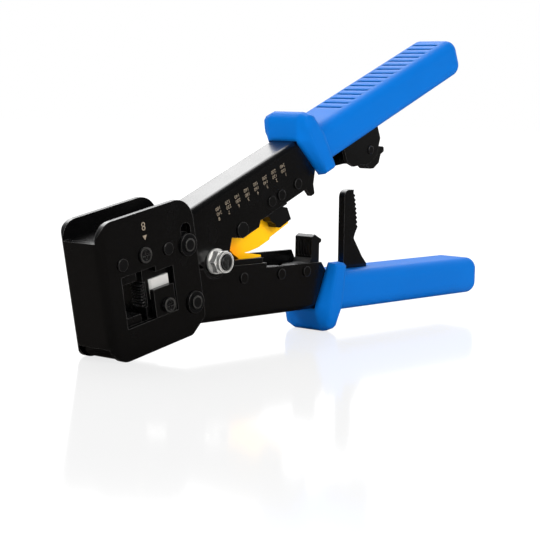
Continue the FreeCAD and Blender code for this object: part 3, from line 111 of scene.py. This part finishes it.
class Paint(Nodes):
    """One named material, built round a Principled shader."""

    def __init__(self, name):
        self.material = bpy.data.materials.new(name)
        super().__init__(self.material)
        self.tree.nodes.clear()
        self.shader = self.tree.nodes.new("ShaderNodeBsdfPrincipled")
        self.output = self.tree.nodes.new("ShaderNodeOutputMaterial")
        self.tree.links.new(self.shader.outputs[0], self.output.inputs["Surface"])

    def set(self, **values):
        """Set the sockets of the Principled shader by name."""
        for key, value in values.items():
            self.put(self.shader.inputs[key.replace("_", " ")], value)

    def spot(self, scale=(1, 1, 1), turn=(0, 0, 0)):
        """Object coordinates, scaled and turned."""
        place = self.node("ShaderNodeTexCoord", output="Object")
        ends = {"Vector": place, "Scale": scale, "Rotation": turn}
        return self.node("ShaderNodeMapping", None, ends)

    def radius(self, centre):
        """Distance from an axis that runs across the tool."""
        flat = self.spot((1, 0, 1))
        level = (centre[0], 0, centre[2])
        return self.measure("DISTANCE", flat, level)

    def noise(self, spot, scale, detail=2.0, rough=0.5):
        ends = {"Vector": spot, "Scale": scale, "Detail": detail, "Roughness": rough}
        return self.node("ShaderNodeTexNoise", None, ends)

    def blend(self, amount, first, second):
        """A colour between two colours."""
        ends = {0: amount, 6: first, 7: second}
        return self.node("ShaderNodeMix", {"data_type": "RGBA"}, ends, output=2)

    def relief(self, height, depth, normal=None):
        """A bump of the given depth in metres."""
        inputs = {"Height": height, "Distance": depth, "Strength": 1.0}
        if normal:
            inputs["Normal"] = normal
        return self.node("ShaderNodeBump", None, inputs)

    def soft_edge(self, radius):
        """The normal, rounded off at edges."""
        return self.node("ShaderNodeBevel", {"samples": 8}, {"Radius": radius})

    def edge_mask(self, radius, low, high):
        """One on sharp edges, zero on flats."""
        rounded = self.soft_edge(radius)
        flat = self.node("ShaderNodeNewGeometry", output="Normal")
        return (1.0 - self.measure("DOT_PRODUCT", rounded, flat)).ramp(low, high)


def wear(material, *names):
    """Dress CAD nodes in a material."""
    for name in names:
        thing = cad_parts[name]
        thing.data.materials.clear()
        thing.data.materials.append(material)


COAT_BLACK = (0.0012, 0.0012, 0.0013, 1)
COAT_EDGE_HIGHLIGHT = (0.17, 0.165, 0.16, 1)
ORANGE_PEEL = 0.005 * MM


def black_coat(name):
    paint = Paint(name)
    spot = paint.spot()
    smear = paint.noise(spot, 60, 3.0)
    grain = paint.noise(spot, 1600, 2.0)
    # The edge mask paints the cut edges pale grey: a painted edge highlight on the black coat.
    edge = paint.edge_mask(0.35 * MM, 0.02, 0.25)
    paint.set(
        Base_Color=paint.blend(edge * 0.45, COAT_BLACK, COAT_EDGE_HIGHLIGHT),
        Roughness=0.25 + (smear - 0.5) * 0.16,
        Normal=paint.relief(grain, ORANGE_PEEL, paint.soft_edge(0.3 * MM)),
        Specular_IOR_Level=0.45,
    )
    return paint.material


coat = black_coat("black_coat")
wear(coat, "head_frame", "die_block", "connector_nest")

# A plain number and an arrow are printed on the near plate in pale ink, as a film
# so thin that only its colour shows. They are read with the tool turned over.

KNEE = Vector((-53.1222, 0.0, 31.8858)) * MM
HEAD_LEAN = math.radians(11.4)
HEAD_FACE = 10.012
FILM_HALF = 0.01
INK_THIN = (0.17, 0.135, 0.095, 1)
INK_FULL = (0.30, 0.245, 0.18, 1)


def pale_ink(name):
    paint = Paint(name)
    patches = paint.noise(paint.spot(), 900, 3.0)
    paint.set(
        Base_Color=paint.blend(patches, INK_THIN, INK_FULL),
        Roughness=0.45 + patches * 0.2,
        Normal=paint.relief(patches, 0.004 * MM),
    )
    return paint.material


def lay_film(film, name, along, out, side, lean, body):
    """Stand a flat mesh on a near side, along and out from the knee in a leaning frame."""
    spin = Matrix.Rotation(-lean, 4, "Y")
    upright = Matrix.Rotation(math.pi / 2, 4, "X")
    upside_down = Matrix.Rotation(math.pi, 4, "Z")
    middle = KNEE + spin @ (Vector((along, -side, out)) * MM)
    film.transform(Matrix.Translation(middle) @ spin @ upright @ upside_down)
    film.name = name
    film.materials.clear()
    film.materials.append(ink)
    thing = bpy.data.objects.new(name, film)
    bpy.context.scene.collection.objects.link(thing)
    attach(thing, body)


def numbers(digits, size):
    """A mesh of numbers, centred on its origin and facing up."""
    line = bpy.data.curves.new("numbers", "FONT")
    line.body = digits
    line.size = size * MM
    line.align_x = "CENTER"
    line.align_y = "CENTER"
    line.extrude = FILM_HALF * MM
    writer = bpy.data.objects.new("numbers", line)
    bpy.context.scene.collection.objects.link(writer)
    bpy.context.view_layer.update()
    film = bpy.data.meshes.new_from_object(writer)
    bpy.data.objects.remove(writer)
    return film


def arrow(radius):
    """A solid triangle as thick as the numbers."""
    tip = bmesh.new()
    bmesh.ops.create_circle(tip, cap_ends=True, segments=3, radius=radius * MM)
    made = bmesh.ops.extrude_face_region(tip, geom=tip.faces[:])
    lifted = [part for part in made["geom"] if isinstance(part, bmesh.types.BMVert)]
    bmesh.ops.translate(tip, verts=lifted, vec=(0, 0, 2 * FILM_HALF * MM))
    bmesh.ops.translate(tip, verts=tip.verts[:], vec=(0, 0, -FILM_HALF * MM))
    bmesh.ops.recalc_face_normals(tip, faces=tip.faces[:])
    film = bpy.data.meshes.new("arrow")
    tip.to_mesh(film)
    tip.free()
    return film


ink = pale_ink("pale_ink")
eight = numbers("8", size=4.2)
lay_film(eight, "head_number", -36.0, 22.6, HEAD_FACE, HEAD_LEAN, "head")
lay_film(arrow(radius=1.2), "head_arrow", -36.0, 18.6, HEAD_FACE, HEAD_LEAN, "head")

# The screw and rivets that hold the die block between the plates are blackened
# steel, turned on a lathe, so fine rings run round their heads.


STEEL_BLACK = (0.022, 0.022, 0.022 * 1.04, 1)
STEEL_RUBBED_AND_HIGHLIGHT = (0.46, 0.45, 0.44, 1)
TURNED_BLACK = (0.018, 0.018, 0.019, 1)
TURNED_HIGHLIGHT = (0.50, 0.49, 0.47, 1)


def blackened(name):
    paint = Paint(name)
    spot = paint.spot()
    blotch = paint.noise(spot, 220, 3.0)
    fine = paint.noise(spot, 2600, 2.0)
    # The edges are painted pale grey, partly for rubbed edges and partly as a painted
    # highlight.
    edge = paint.edge_mask(0.3 * MM, 0.03, 0.3)
    paint.set(
        Base_Color=paint.blend(edge * 0.75, STEEL_BLACK, STEEL_RUBBED_AND_HIGHLIGHT),
        Metallic=0.85,
        Roughness=0.32 + (blotch - 0.5) * 0.2,
        Normal=paint.relief(fine, 0.005 * MM, paint.soft_edge(0.25 * MM)),
    )
    return paint.material


def turned(name, node):
    """Blackened steel with lathe rings round the axis of one pin or screw."""
    paint = Paint(name)
    low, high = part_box(node)
    centre = (Vector(low) + Vector(high)) / 2
    half = (high[0] - low[0]) / 2
    ring_step = 0.22 * half
    away = paint.radius(centre)
    rings = paint.node("ShaderNodeMath", {"operation": "SINE"}, [away * (math.tau / ring_step)])
    # A pale ring near the rim of each head, patchy by noise, and the pale edges are painted
    # highlights.
    rim = away.ramp(0.72 * half, 0.80 * half) * (1.0 - away.ramp(0.90 * half, 0.98 * half))
    patches = paint.noise(paint.spot(), 420, 3.0)
    edge = paint.edge_mask(0.3 * MM, 0.03, 0.3)
    light = edge * 0.7 + rim * (patches * 0.5)
    paint.set(
        Base_Color=paint.blend(light, TURNED_BLACK, TURNED_HIGHLIGHT),
        Metallic=0.85,
        Roughness=0.28 + patches * 0.16,
        Normal=paint.relief(rings, 0.012 * MM, paint.soft_edge(0.25 * MM)),
    )
    return paint.material


dark_steel = blackened("blackened_steel")
wear(turned("screw_steel", "block_screw"), "block_screw")
wear(dark_steel, "block_rivets")

# The ram slides between the legs of the die block. It carries the comb that
# drives the plug's contacts, and a ground blade that trims the wires flush.


GROUND_DULL = (0.62, 0.62, 0.62 * 0.98, 1)
GROUND_BRIGHT = (0.62 * 1.2, 0.62 * 1.19, 0.62 * 1.15, 1)
NICKEL = (0.92, 0.91, 0.88, 1)


def ground_steel(name):
    paint = Paint(name)
    spot = paint.spot(scale=(1, 1, 30))
    lines = paint.noise(spot, 900, 3.0)
    cloud = paint.noise(paint.spot(), 120, 2.0)
    paint.set(
        Base_Color=paint.blend(cloud, GROUND_DULL, GROUND_BRIGHT),
        Metallic=1.0,
        Roughness=0.26 + lines * 0.14,
        Normal=paint.relief(lines, 0.004 * MM, paint.soft_edge(0.15 * MM)),
    )
    return paint.material


def handled(paint):
    """Faint clouds, and fine scratches that run slantwise."""
    cloud = paint.noise(paint.spot(), 300, 3.0)
    scratch = paint.noise(paint.spot(scale=(1, 8, 1), turn=(0.3, 0.2, 0.5)), 1500, 2.0)
    return cloud, scratch


def nickel(name):
    paint = Paint(name)
    cloud, scratch = handled(paint)
    paint.set(
        Base_Color=NICKEL,
        Metallic=0.45,
        Roughness=0.14 + cloud * 0.12,
        Normal=paint.relief(scratch, 0.003 * MM, paint.soft_edge(0.2 * MM)),
    )
    return paint.material


bare_steel = ground_steel("ground_steel")
bright = nickel("bright_nickel")
wear(coat, "ram_body", "blade_clamp")
wear(dark_steel, "crimping_comb")
wear(bright, "trimming_blade")
wear(bare_steel, "knee_roller")
wear(turned("clamp_screw_steel", "clamp_screw"), "clamp_screw")

# The head pin and the slot pin join the arms to the head. Each is kept in
# place by washers inside the plates and a spring clip on each end.

wear(turned("head_pin_steel", "head_pin"), "head_pin", "head_pin_clips", "head_pin_washers")
wear(turned("slot_pin_steel", "slot_pin"), "slot_pin", "slot_pin_clips", "slot_pin_washers")

# The knee bolt is an M5 cap screw with a nickelled lock nut on the near side. The
# nut grips the thread with a dark nylon ring that is rolled in at its rim.


NYLON_RADIUS = 3.05 * MM
RIM_RADIUS = 3.2 * MM
NYLON = (0.006, 0.006, 0.007, 1)
NUT_NICKEL = (0.95, 0.94, 0.91, 1)
THREAD_DARK = (0.02, 0.02, 0.021, 1)
THREAD_HIGHLIGHT = (0.6, 0.6, 0.58, 1)


def lock_nut(name):
    paint = Paint(name)
    cloud, scratch = handled(paint)
    metal = paint.radius(KNEE).ramp(NYLON_RADIUS, RIM_RADIUS)
    paint.set(
        Base_Color=paint.blend(metal, NYLON, NUT_NICKEL),
        Metallic=metal * 0.75 - paint.edge_mask(0.6 * MM, 0.02, 0.22) * 0.7,
        Roughness=0.34 - metal * 0.26 + cloud * 0.1,
        Normal=paint.relief(scratch, 0.003 * MM, paint.soft_edge(0.35 * MM)),
    )
    return paint.material


def threaded_end(name):
    paint = Paint(name)
    rough = paint.noise(paint.spot(), 1300, 4.0, 0.6)
    edge = paint.edge_mask(0.35 * MM, 0.03, 0.3)
    # The edges and flecks on the thread are painted pale: painted highlights on the dark bolt
    # end.
    light = edge * 0.8 + rough.ramp(0.5, 0.7) * 0.5
    paint.set(
        Base_Color=paint.blend(light, THREAD_DARK, THREAD_HIGHLIGHT),
        Metallic=0.8,
        Roughness=0.30 + rough * 0.2,
        Normal=paint.relief(rough, 0.04 * MM, paint.soft_edge(0.3 * MM)),
    )
    return paint.material


wear(lock_nut("lock_nut"), "knee_nut")
wear(bright, "knee_washers")
wear(threaded_end("bolt_steel"), "knee_bolt")

# Both arms are channels bent from 1.5 mm sheet and coated like the head. Two
# cheek plates riveted into the lower one carry the knee bolt.

wear(coat, "upper_channel", "lower_channel", "near_cheek", "far_cheek")
wear(coat, "upper_rivets", "lower_rivets")

# Rows of plain numbers fill the place on the upper arm's near wall where such a
# tool carries a wiring table. They are in the same ink as the head's number.

ARM_LEAN = math.radians(22.8)
ARM_FACE = 7.012
ROWS = (
    (" " * 9).join("12345678"),
    (" " * 5).join(("100", "120", "140", "160", "180", "200", "220", "240")),
    (" " * 5).join(("240", "220", "200", "180", "160", "140", "120", "100")),
)
table = numbers("\n".join(ROWS), size=1.9)
lay_film(table, "arm_numbers", 27.6, 15.5, ARM_FACE, ARM_LEAN, "upper_handle")

# Two stations for stripping and cutting cable sit in the arms. Their blocks
# are moulded black plastic, with hardened blades let into them.


PLASTIC_BLACK = (0.0016, 0.0016, 0.0018, 1)
PLASTIC_EDGE_HIGHLIGHT = (0.06, 0.06, 0.061, 1)


def moulded_black(name):
    paint = Paint(name)
    spot = paint.spot()
    grain = paint.noise(spot, 1900, 3.0)
    cloud = paint.noise(spot, 90, 2.0)
    # The edge mask paints the edges a paler grey: a painted edge highlight.
    edge = paint.edge_mask(0.35 * MM, 0.02, 0.25)
    paint.set(
        Base_Color=paint.blend(edge * 0.4, PLASTIC_BLACK, PLASTIC_EDGE_HIGHLIGHT),
        Specular_IOR_Level=0.35,
        Roughness=0.34 + cloud * 0.14,
        Normal=paint.relief(grain, 0.009 * MM, paint.soft_edge(0.3 * MM)),
    )
    return paint.material


black_plastic = moulded_black("moulded_black")
wear(black_plastic, "strip_block", "cutter_block", "strip_anvil", "cutter_anvil")
wear(bare_steel, "strip_blade", "cutter_blade")

# The blade guard is a moulding of bright yellow plastic that swings on a rivet
# through the upper arm. Its lower end, beside the nut, is painted deeper orange as painted
# shade.

YELLOW = (1.0, 0.52, 0.0, 1)
ORANGE_SHADE = (1.0, 0.27, 0.0, 1)


def yellow_plastic(name):
    paint = Paint(name)
    spot = paint.spot()
    cloud = paint.noise(spot, 70, 2.0)
    grain = paint.noise(spot, 1500, 2.0)
    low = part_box("blade_guard")[0]
    # The lower end is painted orange as painted shade; faint clouds add a random orange tone
    # all over.
    shaded_end = 1.0 - paint.radius((low[0], 0, low[2])).ramp(3 * MM, 12 * MM)
    paint.set(
        Base_Color=paint.blend(shaded_end * 0.8 + cloud * 0.15, YELLOW, ORANGE_SHADE),
        Specular_IOR_Level=0.15,
        Roughness=0.46 + cloud * 0.1,
        Normal=paint.relief(grain, 0.006 * MM, paint.soft_edge(0.3 * MM)),
    )
    return paint.material


wear(yellow_plastic("yellow_plastic"), "blade_guard")
wear(dark_steel, "guard_pin")

# The ratchet makes the tool finish each squeeze: a toothed rack stands on the
# lower arm, and a sprung pawl hangs in a bracket from the upper one. All three are
# steel, coated like the arms. The springs are bare drawn wire.

WIRE_GREY = (0.42, 0.42, 0.43, 1)

wear(coat, "ratchet_rack", "ratchet_bracket", "ratchet_pawl")
wear(dark_steel, "rack_rivets", "bracket_rivets", "pawl_pin")


def spring_steel(name):
    paint = Paint(name)
    drawn = paint.noise(paint.spot(), 900, 2.0)
    paint.set(Base_Color=WIRE_GREY, Metallic=1.0, Roughness=0.22 + drawn * 0.16)
    return paint.material


wear(spring_steel("spring_steel"), "return_spring", "pawl_spring")

# The grips are blue plastic sleeves moulded to the ends of the arms, with a
# broad collar that keeps the hand off the jaws. Their skin is finely grained.


BLUE_DEEP = (0.0003, 0.118, 0.455, 1)
BLUE_MID = (0.0004, 0.140, 0.530, 1)
BLUE_EDGE_HIGHLIGHT = (0.06, 0.36, 0.90, 1)


def blue_plastic(name):
    paint = Paint(name)
    spot = paint.spot()
    cloud = paint.noise(spot, 30, 2.0)
    grain = paint.noise(spot, 1400, 3.0, 0.6)
    # The edge mask paints pale blue lines on the edges: painted highlights.
    edge = paint.edge_mask(0.35 * MM, 0.015, 0.2)
    skin = paint.blend(cloud, BLUE_DEEP, BLUE_MID)
    paint.set(
        Base_Color=paint.blend(edge * 0.35, skin, BLUE_EDGE_HIGHLIGHT),
        Specular_IOR_Level=0.06,
        Roughness=0.44 + cloud * 0.1,
        Normal=paint.relief(grain, 0.007 * MM, paint.soft_edge(2.6 * MM)),
    )
    return paint.material


wear(blue_plastic("blue_plastic"), "lower_grip", "upper_grip")

# The bench is a white sheet that faintly mirrors the tool close to it and is plain
# white further out. The tool's gloss sees it dark, so that the black coat stays black.

WHITE = (1, 1, 1, 1)
GLOW = 1.17
MATT_SHARE = 0.15
MIRROR_SHARE = 0.24


def flat_card(name, size):
    """A square card on the ground."""
    card = bmesh.new()
    bmesh.ops.create_grid(card, x_segments=1, y_segments=1, size=size)
    data = bpy.data.meshes.new(name)
    card.to_mesh(data)
    card.free()
    thing = bpy.data.objects.new(name, data)
    bpy.context.scene.collection.objects.link(thing)
    return thing


bench = flat_card("bench", 4.0)
top = Paint("bench_top")
glow = top.node("ShaderNodeEmission", None, {"Color": WHITE, "Strength": GLOW})
matt = top.node("ShaderNodeBsdfDiffuse", None, {"Color": (0.80, 0.80, 0.80, 1)})
mirror = top.node("ShaderNodeBsdfAnisotropic", None, {"Color": WHITE, "Roughness": 0.10})
mirrored = top.node("ShaderNodeBsdfDiffuse", None, {"Color": (0.06, 0.054, 0.048, 1)})
bounced = top.node("ShaderNodeBsdfDiffuse", None, {"Color": (0.72, 0.72, 0.72, 1)})
away = top.measure("LENGTH", top.spot())
near = 1.0 - away.ramp(0.22, 0.50)
white = top.node("ShaderNodeMixShader", None, [near * MATT_SHARE, glow, matt])
white = top.node("ShaderNodeMixShader", None, [near * MIRROR_SHARE, white, mirror])
sheen = top.node("ShaderNodeLightPath", output="Is Glossy Ray")
shade = top.node("ShaderNodeMixShader", None, [sheen, bounced, mirrored])
seen = top.node("ShaderNodeLightPath", output="Is Camera Ray")
white = top.node("ShaderNodeMixShader", None, [seen, shade, white])
top.put(top.output.inputs["Surface"], white)
bench.data.materials.append(top.material)

# The studio is white to the lens. Its light on the tool comes from the bright wall
# behind it, from a large soft box overhead, from two fills and from one small card.

BRIGHT_WALL = (0.75, 0.66, 0.0)
TOOL_MIDDLE = (0.0, 0.0, 0.05)
NUT_SIDE = (-0.05, 0.0, 0.03)

world = bpy.data.worlds.new("studio")
bpy.context.scene.world = world
sky = Nodes(world)
back = sky.tree.nodes["Background"]
sky.put(back.inputs["Color"], WHITE)
seen = sky.node("ShaderNodeLightPath", output="Is Camera Ray")
toward = sky.node("ShaderNodeTexCoord", output="Generated")
facing = sky.measure("DOT_PRODUCT", toward, BRIGHT_WALL)
wall = facing.ramp(-0.1, 0.75) * 0.97 + 0.03
sky.put(back.inputs["Strength"], seen + (1.0 - seen) * wall)


def soft_box(name, place, aim, width, height, power, mirrored=True):
    lamp = bpy.data.lights.new(name, "AREA")
    lamp.shape = "RECTANGLE"
    lamp.size = width
    lamp.size_y = height
    lamp.energy = power
    thing = bpy.data.objects.new(name, lamp)
    bpy.context.scene.collection.objects.link(thing)
    thing.location = place
    thing.rotation_euler = (Vector(aim) - Vector(place)).to_track_quat("-Z", "Y").to_euler()
    thing.visible_camera = False
    thing.visible_glossy = mirrored


soft_box("top_box", (0.36, 0.52, 0.80), TOOL_MIDDLE, 1.0, 0.9, 12.0)
soft_box("front_fill", (0.15, -1.1, 0.55), TOOL_MIDDLE, 0.9, 0.7, 9.5, mirrored=False)
soft_box("left_fill", (-1.1, 0.1, 0.45), TOOL_MIDDLE, 0.6, 0.6, 11.0, mirrored=False)
soft_box("glint_card", (-0.25, -0.75, 0.55), NUT_SIDE, 0.35, 0.35, 3.0)

# The lens stands where the photograph was taken from, as a fit of edges and points
# on the tool gave it: its place, heading, dip and roll, and the tool's small tilt.

LENS_PLACE = KNEE + Vector((-424.43, -405.14, 59.51)) * MM
FOCAL_LENGTH = 106.52
SENSOR_WIDTH = 36.0
AZIMUTH = math.radians(48.77)
PITCH = math.radians(6.52)
ROLL = math.radians(0.78)
STANCE = math.radians(0.53)

ahead = Vector((math.sin(AZIMUTH), math.cos(AZIMUTH), 0.0))
forward = ahead * math.cos(PITCH) + Vector((0.0, 0.0, -math.sin(PITCH)))
level = Vector((math.cos(AZIMUTH), -math.sin(AZIMUTH), 0.0))
upward = level.cross(forward)
right = level * math.cos(ROLL) + upward * math.sin(ROLL)
upward = upward * math.cos(ROLL) - level * math.sin(ROLL)
axes = Matrix((right, upward, -forward)).transposed()
axes = Matrix.Rotation(-STANCE, 3, "Y") @ axes
lens = bpy.data.cameras.new("camera")
lens.lens = FOCAL_LENGTH
lens.sensor_width = SENSOR_WIDTH
lens.clip_start = 0.01
camera = bpy.data.objects.new("camera", lens)
bpy.context.scene.collection.objects.link(camera)
camera.matrix_world = Matrix.Translation(LENS_PLACE) @ axes.to_4x4()
bpy.context.scene.camera = camera
bpy.context.scene.view_settings.view_transform = "Standard"
